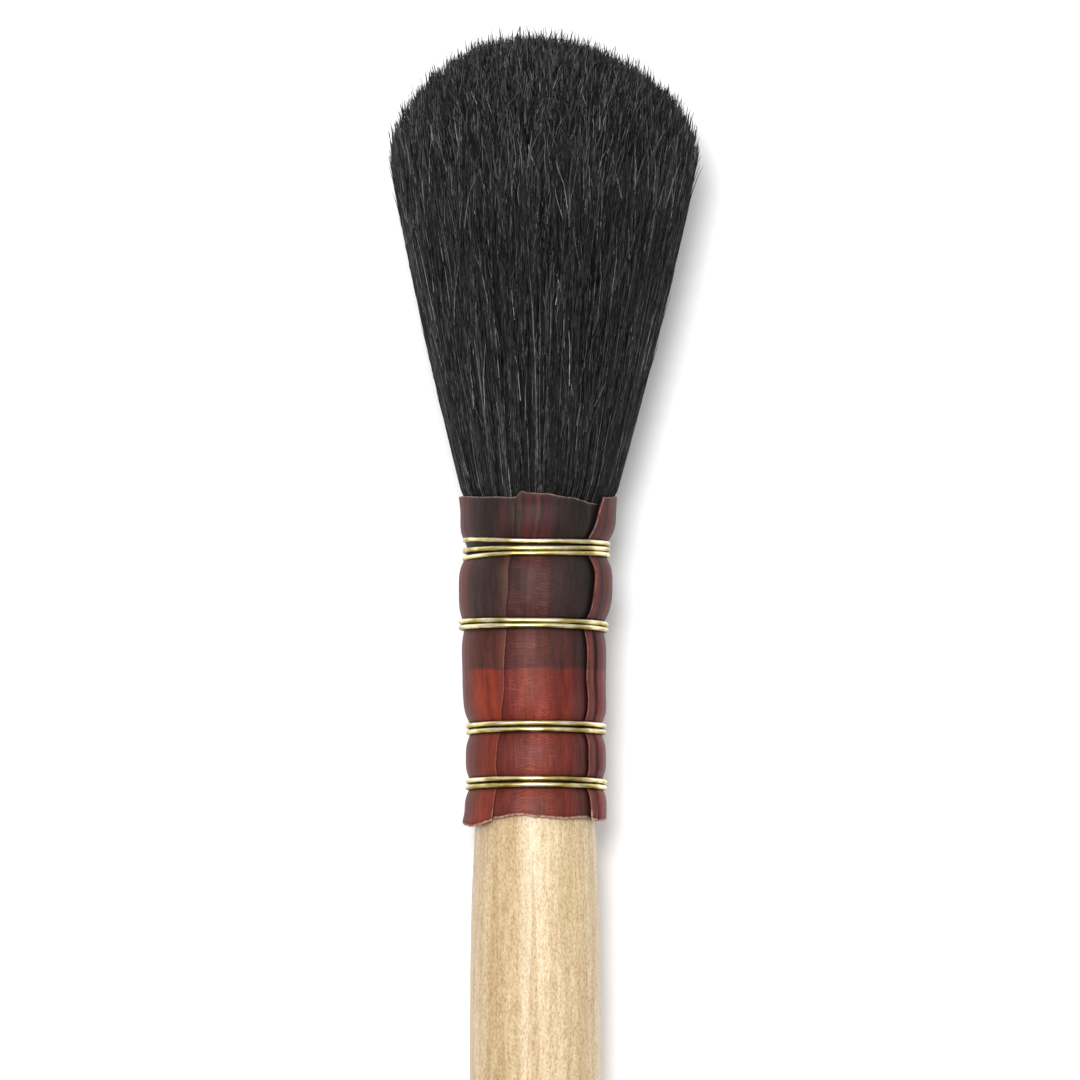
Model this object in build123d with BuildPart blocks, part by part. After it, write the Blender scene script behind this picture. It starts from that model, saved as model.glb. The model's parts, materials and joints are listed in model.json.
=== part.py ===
from build123d import *
from math import asin, atan2, cos, degrees, hypot, sin
import os

# A round quill mop brush, in millimetres, lying at rest on Z = 0 with its head toward +X.
# It rests on the shoulder of the tuft and on the butt of the handle, so its own axis climbs
# gently toward the head. Every outline is drawn on a plane through that axis as (x, r):
# x runs along the axis from the ferrule's mouth, positive toward the head, and r is the
# distance from the axis. The origin is the bottom centre of the bounding box.

# ---------------------------------------------------------------- driving dimensions
BRUSH_LENGTH = 235.0

# Tuft: a gently bulging flank that opens out to a rounded shoulder, under a domed end
HAIR_LENGTH = 41.3
HAIR_MOUTH_RADIUS = 6.9
FLANK = [(21.0, 12.26), (42.0, 15.95)]  # (x, r) on its arc, carried on past the dome
DOME_RADIUS = 15.7
SHOULDER_RADIUS = 7.0
REST_FLAT_DEPTH = 0.2  # the little flat that the tuft's own weight presses in its shoulder

# Where the free hair starts to bend: a ball about the centre of the mouth
BALL_RADIUS = 8.2
BALL_CLEARANCE = 0.1

# Ferrule: two layers of split quill, swollen between the bindings
MOUTH_RADIUS = 7.0
FERRULE_LENGTH = 29.3
CUT_END_RADIUS = 6.42
OUTER_LAYER = 0.30
INNER_LAYER = 0.25
QUILL_WALL = OUTER_LAYER + INNER_LAYER
SLIT_START = 47.0  # angles about the axis from straight up, right-hand rule toward the head
SLIT_END = -32.0

# Bindings, from the mouth to the handle: (turns of wire, x of the middle, radius under the wire)
BINDINGS = [(3, -4.95, 6.18), (2, -11.85, 6.26), (2, -21.15, 5.84), (2, -26.15, 5.90)]
# The quill's swellings before, between and after them: (x, radius)
SWELLINGS = [(-1.8, 6.98), (-8.4, 6.84), (-16.5, 6.42), (-23.65, 6.28), (-28.0, 6.44)]

WIRE_DIAMETER = 0.45
WIRE_PITCH = 0.44  # the turns are pulled tight against each other
TWIST_RADIUS = 0.45  # the two ends of a wire twisted together
TWIST_SINK = 0.18  # how far the twist is pressed down among the turns
TWIST_ARC = 24.0

# Handle: a whittled tenon, a straight grip and a long taper to a rounded butt
TENON_TIP_X = -15.8
TENON_TIP_RADIUS = 4.90
TENON_BASE = (-28.2, 5.36)
TENON_CHAMFER = 0.4
SWELL = [(-34.0, 5.64), (-41.0, 5.82)]
SWELL_SLOPE = (-1, 0.04)  # direction of the outline where the tenon meets the swell
STRAIGHT = (-1, 0)
GRIP_RADIUS = 5.9
GRIP_START = -48.0
GRIP_END = -73.0
TAPER = [(-120.0, 5.05), (-160.0, 4.0)]
TAPER_SLOPE = (-1, -0.03)  # direction of the outline where the taper meets the butt
BUTT_RADIUS = 3.0

# Root of the hair, on top of the tenon
PLUG_RADIUS = 5.0
PLUG_LENGTH = 2.7
THREAD_DIAMETER = 0.4
THREAD_PITCH = 0.38  # wound tight, so that each turn presses on the next
THREAD_TURNS = 4
GLUE_START = -28.0

# ---------------------------------------------------------------- outline of the free hair
dome_x = HAIR_LENGTH - DOME_RADIUS

with BuildSketch() as hair_outline:
    with Locations((dome_x, 0)):
        Circle(DOME_RADIUS)
        Rectangle(dome_x, 2 * DOME_RADIUS, align=(Align.MAX, Align.CENTER))
    with BuildLine():
        flank = ThreePointArc((0, HAIR_MOUTH_RADIUS), *FLANK)
        Polyline(flank @ 1, (FLANK[-1][0], 0), (0, 0), flank @ 0)
    make_face(mode=Mode.INTERSECT)
    fillet(vertices().sort_by(Axis.Y)[-1], SHOULDER_RADIUS)

# ---------------------------------------------------------------- how it lies at rest
# The floor touches the butt's ball and cuts REST_FLAT_DEPTH into the shoulder's circle.
shoulder = hair_outline.edges().filter_by(GeomType.CIRCLE).sort_by(SortBy.RADIUS)[0].arc_center
butt_x = HAIR_LENGTH - BRUSH_LENGTH + BUTT_RADIUS
span = shoulder.X - butt_x
drop = SHOULDER_RADIUS - REST_FLAT_DEPTH - BUTT_RADIUS
tilt = asin(drop / hypot(span, shoulder.Y)) + atan2(shoulder.Y, span)

# The mouth's centre: half way along the bounding box comes over the origin.
box_back = butt_x * cos(tilt) - BUTT_RADIUS
box_front = dome_x * cos(tilt) + DOME_RADIUS
mouth_x = -(box_back + box_front) / 2
mouth_z = BUTT_RADIUS - butt_x * sin(tilt)
mouth = Vector(mouth_x, 0, mouth_z)
head_way = Vector(cos(tilt), 0, sin(tilt))
brush_axis = Axis(mouth, head_way)
side = Plane(origin=mouth, x_dir=head_way, z_dir=(0, -1, 0))


def meridian(angle):
    """The (x, r) drawing plane turned about the brush's axis, 0 being straight up."""
    return Plane(origin=mouth, x_dir=head_way, z_dir=side.z_dir.rotate(brush_axis, angle))


def quill_line(depth):
    """Meridian of the ferrule at a depth under its outer face, from the mouth to the cut end."""
    point = (0, MOUTH_RADIUS - depth)
    for (turns, x, radius), (swell_x, swell_radius) in zip(BINDINGS, SWELLINGS):
        half_width = (turns * WIRE_PITCH + WIRE_DIAMETER) / 2
        front = (x + half_width, radius - depth)
        back = (x - half_width, radius - depth)
        ThreePointArc(point, (swell_x, swell_radius - depth), front)
        Line(front, back)
        point = back
    last_x, last_radius = SWELLINGS[-1]
    ThreePointArc(point, (last_x, last_radius - depth), (-FERRULE_LENGTH, CUT_END_RADIUS - depth))


def tenon_line():
    """Meridian of the tenon, from the middle of its tip over its chamfer to its base."""
    Polyline(
        (TENON_TIP_X, 0),
        (TENON_TIP_X, TENON_TIP_RADIUS - TENON_CHAMFER),
        (TENON_TIP_X - TENON_CHAMFER, TENON_TIP_RADIUS),
        TENON_BASE,
    )


def save(part, name):
    part.label = name
    export_step(part, f"parts/{name}.step")


os.makedirs("parts", exist_ok=True)

# ---------------------------------------------------------------- handle
with BuildPart() as handle:
    with BuildSketch(side):
        with BuildLine():
            tenon_line()
            grip = Line((GRIP_START, GRIP_RADIUS), (GRIP_END, GRIP_RADIUS))
            Spline(TENON_BASE, *SWELL, grip @ 0, tangents=[SWELL_SLOPE, STRAIGHT])
            Spline(grip @ 1, *TAPER, (butt_x, BUTT_RADIUS), tangents=[STRAIGHT, TAPER_SLOPE])
            CenterArc((butt_x, 0), BUTT_RADIUS, 90, 90)
            Line((butt_x - BUTT_RADIUS, 0), (TENON_TIP_X, 0))
        make_face()
    revolve(axis=brush_axis)
save(handle.part, "handle")

# ---------------------------------------------------------------- quill ferrule
with BuildPart() as quill_inner:
    with BuildSketch(side):
        with BuildLine():
            quill_line(OUTER_LAYER)
            quill_line(QUILL_WALL)
            Line((0, MOUTH_RADIUS - OUTER_LAYER), (0, MOUTH_RADIUS - QUILL_WALL))
            Line(
                (-FERRULE_LENGTH, CUT_END_RADIUS - OUTER_LAYER),
                (-FERRULE_LENGTH, CUT_END_RADIUS - QUILL_WALL),
            )
        make_face()
    revolve(axis=brush_axis)
save(quill_inner.part, "quill_inner")

with BuildPart() as quill_outer:
    with BuildSketch(meridian(SLIT_START)):
        with BuildLine():
            quill_line(0)
            quill_line(OUTER_LAYER)
            Line((0, MOUTH_RADIUS), (0, MOUTH_RADIUS - OUTER_LAYER))
            Line(
                (-FERRULE_LENGTH, CUT_END_RADIUS),
                (-FERRULE_LENGTH, CUT_END_RADIUS - OUTER_LAYER),
            )
        make_face()
    revolve(axis=brush_axis, revolution_arc=360 + SLIT_END - SLIT_START)
save(quill_outer.part, "quill_outer")

# ---------------------------------------------------------------- brass bindings
for number, (turns, x, radius) in enumerate(BINDINGS, start=1):
    wire_radius = radius + WIRE_DIAMETER / 2
    twist_radius = radius + WIRE_DIAMETER + TWIST_RADIUS - TWIST_SINK
    with BuildPart() as wire_band:
        with BuildSketch(side):
            with Locations((x, wire_radius)):
                with GridLocations(WIRE_PITCH, 0, turns, 1):
                    Circle(WIRE_DIAMETER / 2)
        revolve(axis=brush_axis)
        with BuildSketch(meridian(180 - TWIST_ARC / 2)):
            with Locations((x, twist_radius)):
                Circle(TWIST_RADIUS)
        revolve(axis=brush_axis, revolution_arc=TWIST_ARC)
    save(wire_band.part, f"wire_band_{number}")

# ---------------------------------------------------------------- inside the ferrule
plug_front = TENON_TIP_X + PLUG_LENGTH

with BuildPart() as tenon_glue:
    with BuildSketch(side):
        with BuildLine():
            quill_line(QUILL_WALL)
            Polyline((0, MOUTH_RADIUS - QUILL_WALL), (0, 0), (-FERRULE_LENGTH, 0))
            Line((-FERRULE_LENGTH, 0), (-FERRULE_LENGTH, CUT_END_RADIUS - QUILL_WALL))
        make_face()
        with Locations(((GLUE_START + TENON_TIP_X) / 2, 0)):
            Rectangle(TENON_TIP_X - GLUE_START, 2 * MOUTH_RADIUS, mode=Mode.INTERSECT)
        with BuildLine():
            tenon_line()
            Polyline(TENON_BASE, (TENON_BASE[0], 0), (TENON_TIP_X, 0))
        make_face(mode=Mode.SUBTRACT)
    revolve(axis=brush_axis)
save(tenon_glue.part, "tenon_glue")

with BuildPart() as root_plug:
    with BuildSketch(side):
        with Locations((TENON_TIP_X, 0)):
            Rectangle(PLUG_LENGTH, PLUG_RADIUS, align=(Align.MIN, Align.MIN))
    revolve(axis=brush_axis)
save(root_plug.part, "root_plug")

with BuildPart() as tie_thread:
    with BuildSketch(side):
        with Locations((TENON_TIP_X + PLUG_LENGTH / 2, PLUG_RADIUS + THREAD_DIAMETER / 2)):
            with GridLocations(THREAD_PITCH, 0, THREAD_TURNS, 1):
                Circle(THREAD_DIAMETER / 2)
    revolve(axis=brush_axis)
save(tie_thread.part, "tie_thread")

# ---------------------------------------------------------------- hair
with BuildPart() as hair_root:
    with BuildSketch(side):
        add(hair_outline.sketch)
        Circle(BALL_RADIUS - BALL_CLEARANCE, mode=Mode.INTERSECT)
        with BuildLine():
            quill_line(QUILL_WALL)
            Polyline((0, MOUTH_RADIUS - QUILL_WALL), (0, 0), (-FERRULE_LENGTH, 0))
            Line((-FERRULE_LENGTH, 0), (-FERRULE_LENGTH, CUT_END_RADIUS - QUILL_WALL))
        make_face()
        with Locations((plug_front, 0)):
            Rectangle(
                FERRULE_LENGTH,
                2 * MOUTH_RADIUS,
                align=(Align.MAX, Align.CENTER),
                mode=Mode.SUBTRACT,
            )
    revolve(axis=brush_axis)
save(hair_root.part, "hair_root")

with BuildPart() as hair_tuft:
    with BuildSketch(side):
        add(hair_outline.sketch)
        Circle(BALL_RADIUS, mode=Mode.SUBTRACT)
    revolve(axis=brush_axis)
    split(bisect_by=Plane.XY, keep=Keep.TOP)
save(hair_tuft.part, "hair_tuft")

print(f"rest tilt {degrees(tilt):.3f} deg, mouth at ({mouth_x:.3f}, 0, {mouth_z:.3f})")
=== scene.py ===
import json
from math import radians

import bpy
import numpy as np
from mathutils import Matrix, Vector


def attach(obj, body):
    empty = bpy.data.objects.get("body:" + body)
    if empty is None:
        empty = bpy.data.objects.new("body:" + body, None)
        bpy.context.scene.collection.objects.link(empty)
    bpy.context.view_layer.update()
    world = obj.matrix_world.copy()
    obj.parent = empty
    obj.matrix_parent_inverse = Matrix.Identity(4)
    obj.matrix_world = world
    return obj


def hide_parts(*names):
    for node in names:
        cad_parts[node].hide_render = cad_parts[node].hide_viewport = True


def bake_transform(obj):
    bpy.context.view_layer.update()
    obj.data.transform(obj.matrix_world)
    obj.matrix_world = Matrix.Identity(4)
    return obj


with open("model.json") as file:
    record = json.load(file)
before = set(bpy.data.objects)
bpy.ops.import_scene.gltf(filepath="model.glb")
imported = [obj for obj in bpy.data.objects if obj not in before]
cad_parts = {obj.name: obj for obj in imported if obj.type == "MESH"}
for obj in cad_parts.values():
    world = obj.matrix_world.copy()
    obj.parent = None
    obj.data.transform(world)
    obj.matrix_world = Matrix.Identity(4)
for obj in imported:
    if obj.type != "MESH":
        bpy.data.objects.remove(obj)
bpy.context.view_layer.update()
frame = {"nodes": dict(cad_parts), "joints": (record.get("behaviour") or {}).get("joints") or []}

# A quill mop brush lying on a pale floor, head toward +X. Every size is in millimetres and
# every place is given in the brush's own terms: x along its axis from the ferrule's mouth,
# positive toward the hair, r out from the axis, and an angle about the axis, in degrees,
# from straight up toward the right-hand side as seen from above with the hair at the top.
MM = 0.001

# ---------------- the brush's own axes
bend = frame["joints"][0]
MOUTH = np.array(bend["pos_m"])
UP = np.array(bend["axis"]) / np.linalg.norm(bend["axis"])
HEAD = np.array([UP[2], 0.0, -UP[0]])
RIGHT = np.cross(HEAD, UP)


def place(x, r, angle):
    """Points in the shared frame, in metres, from x, r and angle arrays."""
    x, r, angle = np.broadcast_arrays(x, r, np.radians(angle))
    out = np.cos(angle)[..., None] * UP + np.sin(angle)[..., None] * RIGHT
    return MOUTH + MM * (x[..., None] * HEAD + r[..., None] * out)


def along_brush(node):
    """x along the brush of every vertex of a CAD node."""
    return (np.array([v.co for v in frame["nodes"][node].data.vertices]) - MOUTH) @ HEAD / MM


# ---------------- sizes, from the CAD
HAIR_LENGTH = along_brush("hair_tuft").max()
HAIR_MOUTH_RADIUS = 6.9
DOME_RADIUS = 15.1
DOME_LIFT = 0.25  # how far its hairs' ends stand past the CAD tuft
DOME_TILT = -0.09  # its hairs are longer toward the left, by this share of the way across
DOME_X = HAIR_LENGTH + DOME_LIFT - DOME_RADIUS
FLANK_SLOPE = 0.270  # at the mouth
FLANK_CURVE = 0.00128  # how the slope eases off along the flank
SHOULDER_BLEND = 0.45  # how softly the flank turns over into the dome
MOUTH_SQUEEZE = 0.32  # the quill holds the hair this much tighter than its free flank

# How far right of the handle's axis the ferrule and then the tuft stand, as (x, shift)
SWAY = [
    (-29.5, 0.0), (-26.0, 0.07), (-21.0, 0.06), (-16.5, -0.12), (-12.0, -0.16),
    (-8.4, 0.02), (-5.0, 0.08), (-1.8, 0.28), (1.0, 0.36),
]
HAIR_LEAN = 0.0128  # and how much further right it leans for each millimetre along the tuft

FERRULE_END = along_brush("quill_outer").min()
OUTER_LAYER = 0.30
INNER_LAYER = 0.25
WIRE_DIAMETER = 0.45
MEAN_RADIUS = 6.5
IN_MM = radians(MEAN_RADIUS)  # turns degrees round the ferrule into widths across its faces
FULL_TURN = 360.0
TENON_TIP = -15.8  # hair shows through the quill before this, and wood after it


def srgb(red, green, blue):
    """A linear colour from its display values, 0 to 255."""
    c = np.array([red, green, blue]) / 255
    return tuple(np.where(c <= 0.04045, c / 12.92, ((c + 0.055) / 1.055) ** 2.4))


def grey(level):
    """A linear grey."""
    return (level, level, level)


def smooth(edge0, edge1, value):
    """0 at one edge and 1 at the other, with a soft start and a soft end between them."""
    t = np.clip((value - edge0) / (edge1 - edge0), 0, 1)
    return t * t * (3 - 2 * t)


def bell(value, middle, reach):
    """1 at the middle, falling away softly on both sides."""
    return np.exp(-(((value - middle) / reach) ** 2))


def through(points, x, period=None):
    """A smooth line through a few given (x, y) points, level at each of them."""
    xs, ys = (np.array(c, float) for c in zip(*points))
    if period:
        x = (x - xs[0]) % period + xs[0]
        xs = np.append(xs, xs[0] + period)
        ys = np.append(ys, ys[0])
    i = np.clip(np.searchsorted(xs, x, side="right") - 1, 0, len(xs) - 2)
    return ys[i] + (ys[i + 1] - ys[i]) * smooth(xs[i], xs[i + 1], x)


def waves(seed, count, low, high):
    """A smooth random function of an angle and x, about -1 to 1."""
    rng = np.random.default_rng(seed)
    turns = rng.integers(low, high + 1, count)
    rates = rng.uniform(-1.2, 1.2, count)
    phases = rng.uniform(0, 2 * np.pi, count)
    sizes = rng.uniform(0.4, 1.0, count)
    sizes /= sizes.sum() / 1.6

    def value(angle, x):
        total = 0
        for n, rate, phase, size in zip(turns, rates, phases, sizes):
            total = total + size * np.sin(n * np.radians(angle) + rate * x + phase)
        return total

    return value


# ---------------- meshes
def add_object(name, data):
    """A new object with this data, in the scene."""
    made = bpy.data.objects.new(name, data)
    bpy.context.scene.collection.objects.link(made)
    return made


def mesh_piece(name, points, faces, material, smooth_shade=True, **values):
    """A mesh object from points and faces, with one float value per point for each extra name."""
    mesh = bpy.data.meshes.new(name)
    mesh.from_pydata(points.reshape(-1, 3), [], faces)
    for key, value in values.items():
        data = mesh.attributes.new(key, "FLOAT", "POINT").data
        data.foreach_set("value", np.asarray(value, np.float32).ravel())
    mesh.polygons.foreach_set("use_smooth", np.full(len(mesh.polygons), smooth_shade))
    mesh.materials.append(material)
    mesh.update()
    return add_object(name, mesh)


def grid_faces(rows, columns, wrap):
    """Quads of a rows by columns grid, joined round to the first column if it wraps."""
    i = np.arange(rows - 1)[:, None]
    j = np.arange(columns if wrap else columns - 1)[None, :]
    k = (j + 1) % columns
    return np.stack(
        [i * columns + j, (i + 1) * columns + j, (i + 1) * columns + k, i * columns + k], -1
    ).reshape(-1, 4)


# ---------------- materials
class Tree:
    """A new material's node tree, with short ways to add and join nodes."""

    def __init__(self, name):
        self.material = bpy.data.materials.new(name)
        self.material.use_nodes = True
        self.nodes = self.material.node_tree.nodes
        self.links = self.material.node_tree.links
        self.shader = self.nodes["Principled BSDF"]

    def node(self, kind, **settings):
        made = self.nodes.new("ShaderNode" + kind)
        for key, value in settings.items():
            setattr(made, key, value)
        return made

    def put(self, value, socket):
        """Set a socket to a number or a colour, or link another node's output to it."""
        if isinstance(value, tuple):
            socket.default_value = (*value, 1.0)
        elif isinstance(value, (int, float)):
            socket.default_value = value
        else:
            self.links.new(value, socket)

    def set(self, **values):
        """Set or join the shader's inputs, each named with _ for its spaces."""
        for key, value in values.items():
            self.put(value, self.shader.inputs[key.replace("_", " ")])

    def attribute(self, name):
        return self.node("Attribute", attribute_name=name).outputs["Fac"]

    def math(self, operation, a, b=0.0, clamp=False):
        made = self.node("Math", operation=operation, use_clamp=clamp)
        self.put(a, made.inputs[0])
        self.put(b, made.inputs[1])
        return made.outputs[0]

    def times(self, a, b, clamp=False):
        return self.math("MULTIPLY", a, b, clamp)

    def minus(self, a, b):
        return self.math("SUBTRACT", a, b)

    def combine(self, *parts):
        made = self.node("CombineXYZ")
        for socket, value in zip(made.inputs, parts):
            self.put(value, socket)
        return made.outputs[0]

    def weighted(self, *pairs, base=0.0):
        """The sum of each value times its weight, and a constant."""
        total = base
        for value, weight in pairs:
            total = self.math("ADD", total, self.times(value, weight))
        return total

    def past(self, value, start, slope):
        """0 up to the start, then rising to 1 at this slope; the other way round if it is negative."""
        return self.times(self.minus(value, start), slope, clamp=True)

    def step(self, value, middle, slope):
        """From 0 to 1 at this slope through the middle, or from 1 to 0 if it is negative."""
        return self.math("ADD", self.times(self.minus(value, middle), slope), 0.5, clamp=True)

    def strayed(self, value, noise, size):
        """The value, strayed by up to half the size to either side as the noise goes."""
        return self.math("ADD", value, self.times(self.minus(noise, 0.5), size))

    def stretched(self, space, along, across):
        """Brush space, scaled by one rate along the brush and another across it."""
        rates = (along, across, across)
        return self.combine(*[self.times(part, rate) for part, rate in zip(space, rates)])

    def noise(self, vector, scale=1.0, detail=3.0, roughness=0.55):
        made = self.node("TexNoise")
        self.put(vector, made.inputs["Vector"])
        for key, value in (("Scale", scale), ("Detail", detail), ("Roughness", roughness)):
            made.inputs[key].default_value = value
        return made.outputs["Fac"]

    def ramp(self, value, *stops):
        """Colours blended from (level, colour) stops."""
        made = self.node("ValToRGB")
        elements = made.color_ramp.elements
        while len(elements) < len(stops):
            elements.new(0.5)
        for element, (at, colour) in zip(elements, stops):
            element.position = at
            element.color = (*colour, 1.0)
        self.put(value, made.inputs["Fac"])
        return made.outputs["Color"]

    def mix(self, share, a, b, blend="MIX"):
        made = self.node("Mix", data_type="RGBA", blend_type=blend)
        sockets = {s.identifier: s for s in made.inputs}
        for key, value in (("Factor_Float", share), ("A_Color", a), ("B_Color", b)):
            self.put(value, sockets[key])
        return {s.identifier: s for s in made.outputs}["Result_Color"]

    def bump(self, height, strength, distance):
        made = self.node("Bump")
        made.inputs["Strength"].default_value = strength
        made.inputs["Distance"].default_value = distance
        self.put(height, made.inputs["Height"])
        self.set(Normal=made.outputs["Normal"])

    def brush_space(self):
        """x along the brush, then right and up across it, in millimetres from the mouth."""
        here = self.node("TexCoord").outputs["Object"]
        away = self.node("VectorMath", operation="SUBTRACT")
        self.put(here, away.inputs[0])
        away.inputs[1].default_value = MOUTH
        parts = []
        for axis in (HEAD, RIGHT, UP):
            dot = self.node("VectorMath", operation="DOT_PRODUCT")
            self.put(away.outputs["Vector"], dot.inputs[0])
            dot.inputs[1].default_value = axis / MM
            parts.append(dot.outputs["Value"])
        return parts


HAIR_GLOSS = 0.12
GREY_TONE = 0.92  # hairs with a tone above this are the few grey and white ones


def hair_material():
    """Near-black soft hair. 'tone' is each hair's own shade, from 0 for black to 1 for white."""
    t = Tree("hair")
    tone = t.attribute("tone")
    patches = t.noise(t.stretched(t.brush_space(), 0.45, 6.0), detail=2.0, roughness=0.65)
    level = t.weighted((tone, 0.68), (patches, 0.70), base=-0.154)
    dark = t.ramp(
        level,
        (0.22, (0.0012, 0.0012, 0.0013)),
        (0.33, (0.0080, 0.0079, 0.0081)),
        (0.50, (0.0150, 0.0148, 0.0150)),
        (0.65, (0.044, 0.043, 0.043)),
        (0.80, (0.108, 0.106, 0.104)),
    )
    light = t.ramp(patches, (0.35, (0.08, 0.078, 0.076)), (0.65, (0.29, 0.28, 0.27)))
    t.set(Base_Color=t.mix(t.math("GREATER_THAN", tone, GREY_TONE), dark, light))
    t.set(Roughness=t.weighted((patches, 0.3), base=0.30), Specular_IOR_Level=HAIR_GLOSS)
    return t.material


def hair_core_material():
    """The dark mass of hair under the single hairs, streaked along the brush."""
    t = Tree("hair_core")
    streaks = t.noise(t.stretched(t.brush_space(), 0.14, 2.4), detail=4.0, roughness=0.7)
    t.set(Base_Color=t.ramp(streaks, (0.35, grey(0.005)), (0.7, grey(0.012))))
    t.bump(streaks, 0.5, 0.3 * MM)
    t.set(Roughness=0.6, Specular_IOR_Level=HAIR_GLOSS)
    return t.material


# Colours round the ferrule as (angle, red, green, blue): near the mouth and further down, where
# hair shows dark through the quill, and then where the wooden tenon shows red through it.
OUTER_NEAR_MOUTH = [
    (50, 56, 18, 14), (55, 94, 32, 22), (61, 46, 14, 12), (68, 92, 28, 22), (78, 60, 20, 18),
    (100, 56, 29, 26), (140, 48, 28, 26), (180, 70, 30, 28), (215, 44, 26, 24), (255, 62, 30, 28),
    (270, 92, 42, 40), (289, 80, 38, 36), (298, 58, 31, 30), (310, 41, 28, 26), (325, 38, 27, 25),
    (334, 50, 28, 26), (343, 44, 27, 25),
]
INNER_NEAR_MOUTH = [
    (-60, 50, 28, 26), (-17, 44, 28, 26), (-14, 66, 44, 30), (-12, 54, 25, 26), (-7, 68, 21, 25),
    (-3, 44, 22, 24), (-1, 84, 40, 38), (1, 46, 20, 24), (7, 64, 23, 26), (12, 43, 27, 26),
    (25, 37, 27, 25), (38, 33, 26, 25), (42, 46, 38, 38), (45, 26, 20, 22), (90, 50, 28, 26),
]
OUTER_DARK = [
    (50, 50, 14, 14), (54, 98, 34, 31), (60, 34, 8, 10), (66, 78, 22, 23), (74, 92, 37, 35),
    (86, 58, 25, 25), (105, 52, 28, 26), (150, 66, 31, 29), (200, 42, 26, 24), (250, 66, 32, 30),
    (278, 98, 44, 42), (292, 84, 40, 37), (304, 54, 35, 32), (322, 46, 33, 30), (332, 56, 34, 30),
    (337, 74, 48, 38), (343, 54, 30, 27),
]
INNER_DARK = [
    (-60, 50, 28, 26), (-20, 52, 26, 25), (-13, 56, 29, 27), (-8, 63, 32, 30), (4, 64, 34, 32),
    (10, 62, 30, 28), (14, 48, 32, 30), (28, 44, 32, 30), (42, 40, 31, 30), (50, 24, 17, 18),
    (90, 50, 28, 26),
]
OUTER_RED = [
    (50, 84, 34, 28), (55, 104, 50, 42), (59, 60, 16, 16), (66, 104, 36, 36), (76, 122, 56, 56),
    (86, 104, 48, 48), (120, 98, 36, 28), (170, 112, 38, 24), (220, 92, 34, 28), (262, 98, 44, 40),
    (276, 100, 48, 46), (292, 98, 42, 36), (303, 114, 43, 27), (322, 117, 42, 26), (332, 106, 36, 25),
    (343, 86, 30, 24),
]
INNER_RED = [
    (-60, 96, 34, 26), (-28, 86, 27, 22), (-20, 98, 32, 27), (-11, 112, 42, 31), (6, 118, 44, 32),
    (13, 108, 36, 26), (20, 92, 30, 22), (30, 104, 37, 27), (36, 84, 36, 32), (43, 78, 37, 34),
    (47, 58, 24, 22), (50, 40, 12, 12), (90, 92, 32, 26),
]

# How strongly fine ripples cross the quill round the ferrule, as (angle, share): in the bump, and as a
# painted highlight on their crests where the light glints.
OUTER_RIPPLES = [(50, 0.05), (120, 0.3), (170, 0.5), (230, 0.25), (290, 0.05), (343, 0.12)]
INNER_RIPPLES = [(-60, 0.1), (-24, 0.1), (-14, 0.6), (8, 0.8), (16, 0.25), (24, 0.1), (50, 0.0)]
RIPPLE_RATE = 22.0  # radians of ripple for each millimetre along the brush
RIPPLE_DRIFT = 26.0  # radians that it strays by

# Where one set of colours gives way to the next, along the brush
DARK_FROM = -4.9
TINGED_FROM = -12.0
FADED_FROM = -20.5
FOOT_FROM = -28.3

FADED_RED = srgb(90, 44, 38)
# Painted highlight on the crests of the ripples
CREST_HIGHLIGHT = srgb(164, 100, 84)
# Pale cut edges: the cut's own lighter colour, with a painted highlight where a slit edge faces the
# light
CUT_NEAR_MOUTH = srgb(168, 146, 130)
CUT_BELOW = srgb(164, 112, 88)
CUT_AT_FOOT = srgb(240, 200, 174)
# Painted shade for the crevices along the slit, under the wires and on the quill's inward faces
CREVICE_SHADE = srgb(20, 8, 10)


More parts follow.
